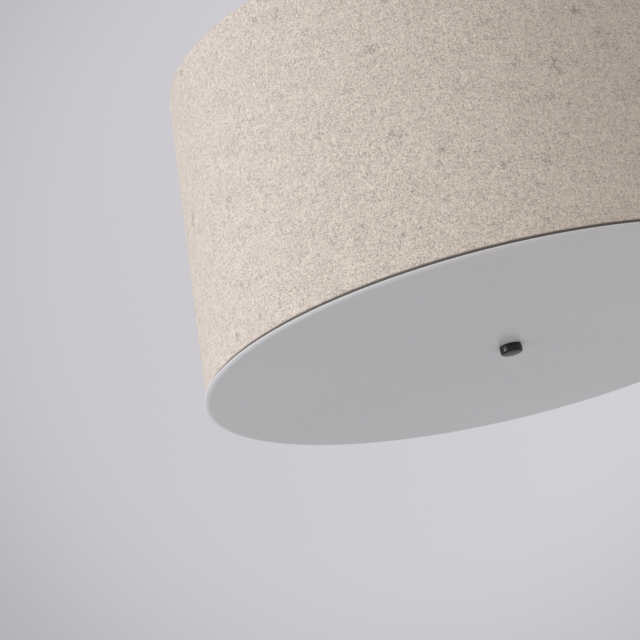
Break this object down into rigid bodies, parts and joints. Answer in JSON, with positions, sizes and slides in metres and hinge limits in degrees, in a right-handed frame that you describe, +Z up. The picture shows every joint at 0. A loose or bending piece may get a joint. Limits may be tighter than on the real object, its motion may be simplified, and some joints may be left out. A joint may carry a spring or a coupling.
{
  "type": "flush mount ceiling light",
  "caption": "Flush mount ceiling light: tapered linen drum shade on a wire spider, opal disc below held by a round black knob, lamps on a canopy pan.",
  "frame": {"origin": "centre of the mounting bar's upper face, where it lies on the ceiling", "axes": "+Z up to the ceiling along the centre rod, +X along the mounting bar, +Y to the back, where the shade's lap seam is"},
  "size_m": [0.4042, 0.4042, 0.2246],
  "materials": {
    "linen": "woven linen, matt",
    "liner_film": "white styrene lampshade film",
    "ring_wire": "white powder-coated wire",
    "opal_acrylic": "opal acrylic, satin gloss",
    "black_rubber": "moulded rubber",
    "black_knob": "black satin enamel on turned metal",
    "white_enamel": "white baked enamel",
    "zinc_steel": "zinc-plated steel",
    "nickel_brass": "nickel-plated brass",
    "rivet_aluminium": "plain aluminium",
    "green_screw": "green-dyed zinc plating",
    "green_wire": "extruded PVC insulation",
    "lead_white": "extruded PVC insulation",
    "block_nylon": "moulded natural nylon",
    "holder_porcelain": "glazed porcelain",
    "shell_brass": "rolled thread sheet brass",
    "contact_bronze": "spring bronze",
    "bulb_nickel": "nickel-plated cap",
    "bulb_solder": "dull solder",
    "bulb_housing": "moulded heat-conducting plastic",
    "bulb_opal": "opal polycarbonate"
  },
  "bodies": {
    "ceiling_base": {"mounting_bar": "zinc_steel", "mounting_studs": "zinc_steel", "stud_nuts": "zinc_steel", "cap_nuts": "nickel_brass", "earth_screw": "green_screw", "earth_lead": "green_wire", "canopy_pan": "white_enamel", "lead_grommets": "black_rubber", "terminal_block": "block_nylon", "terminal_screws": "zinc_steel", "block_screws": "zinc_steel", "bracket_rivets": "rivet_aluminium", "holder_screws": "zinc_steel", "centre_rod": "zinc_steel", "rod_top_nut": "zinc_steel", "rod_lock_washer": "zinc_steel", "rod_lower_nut": "zinc_steel", "spider_stop_nut": "zinc_steel", "holder_bracket_a": "zinc_steel", "lamp_holder_a": "holder_porcelain", "holder_shell_a": "shell_brass", "holder_contact_a": "contact_bronze", "lead_pair_a": "lead_white", "holder_bracket_b": "zinc_steel", "lamp_holder_b": "holder_porcelain", "holder_shell_b": "shell_brass", "holder_contact_b": "contact_bronze", "lead_pair_b": "lead_white", "holder_bracket_c": "zinc_steel", "lamp_holder_c": "holder_porcelain", "holder_shell_c": "shell_brass", "holder_contact_c": "contact_bronze", "lead_pair_c": "lead_white"},
    "shade": {"shade_fabric": "linen", "shade_liner": "liner_film", "bottom_ring": "ring_wire", "shade_spider": "ring_wire", "spider_washer": "zinc_steel", "spider_nut": "zinc_steel"},
    "diffuser": {"diffuser": "opal_acrylic"},
    "finial_seat": {"finial_washer": "black_rubber"},
    "finial": {"finial_knob": "black_knob"},
    "bulb_a": {"bulb_cap_a": "bulb_nickel", "bulb_tip_a": "bulb_solder", "bulb_skirt_a": "bulb_housing", "bulb_globe_a": "bulb_opal"},
    "bulb_b": {"bulb_cap_b": "bulb_nickel", "bulb_tip_b": "bulb_solder", "bulb_skirt_b": "bulb_housing", "bulb_globe_b": "bulb_opal"},
    "bulb_c": {"bulb_cap_c": "bulb_nickel", "bulb_tip_c": "bulb_solder", "bulb_skirt_c": "bulb_housing", "bulb_globe_c": "bulb_opal"}
  },
  "joints": [
    {"name": "shade_lower", "type": "slide", "parent": "ceiling_base", "child": "shade", "axis": [0, 0, -1], "range_m": [0, 0.09]},
    {"name": "diffuser_drop", "type": "slide", "parent": "shade", "child": "diffuser", "axis": [0, 0, -1], "range_m": [0, 0.12]},
    {"name": "finial_travel", "type": "slide", "parent": "diffuser", "child": "finial_seat", "axis": [0, 0, -1], "range_m": [0, 0.008]},
    {"name": "finial_turn", "type": "hinge", "parent": "finial_seat", "child": "finial", "pos_m": [0, 0, -0.2194], "axis": [0, 0, -1], "range_deg": [0, 2880]},
    {"name": "bulb_a_out", "type": "slide", "parent": "ceiling_base", "child": "bulb_a", "axis": [0, 1, 0], "range_m": [0, 0.026]},
    {"name": "bulb_b_out", "type": "slide", "parent": "ceiling_base", "child": "bulb_b", "axis": [-0.866, -0.5, 0], "range_m": [0, 0.026]},
    {"name": "bulb_c_out", "type": "slide", "parent": "ceiling_base", "child": "bulb_c", "axis": [0.866, -0.5, 0], "range_m": [0, 0.026]}
  ],
  "couplings": [
    {"joint": "finial_travel", "follows": "finial_turn", "m_per_rad": 0.00015915}
  ]
}
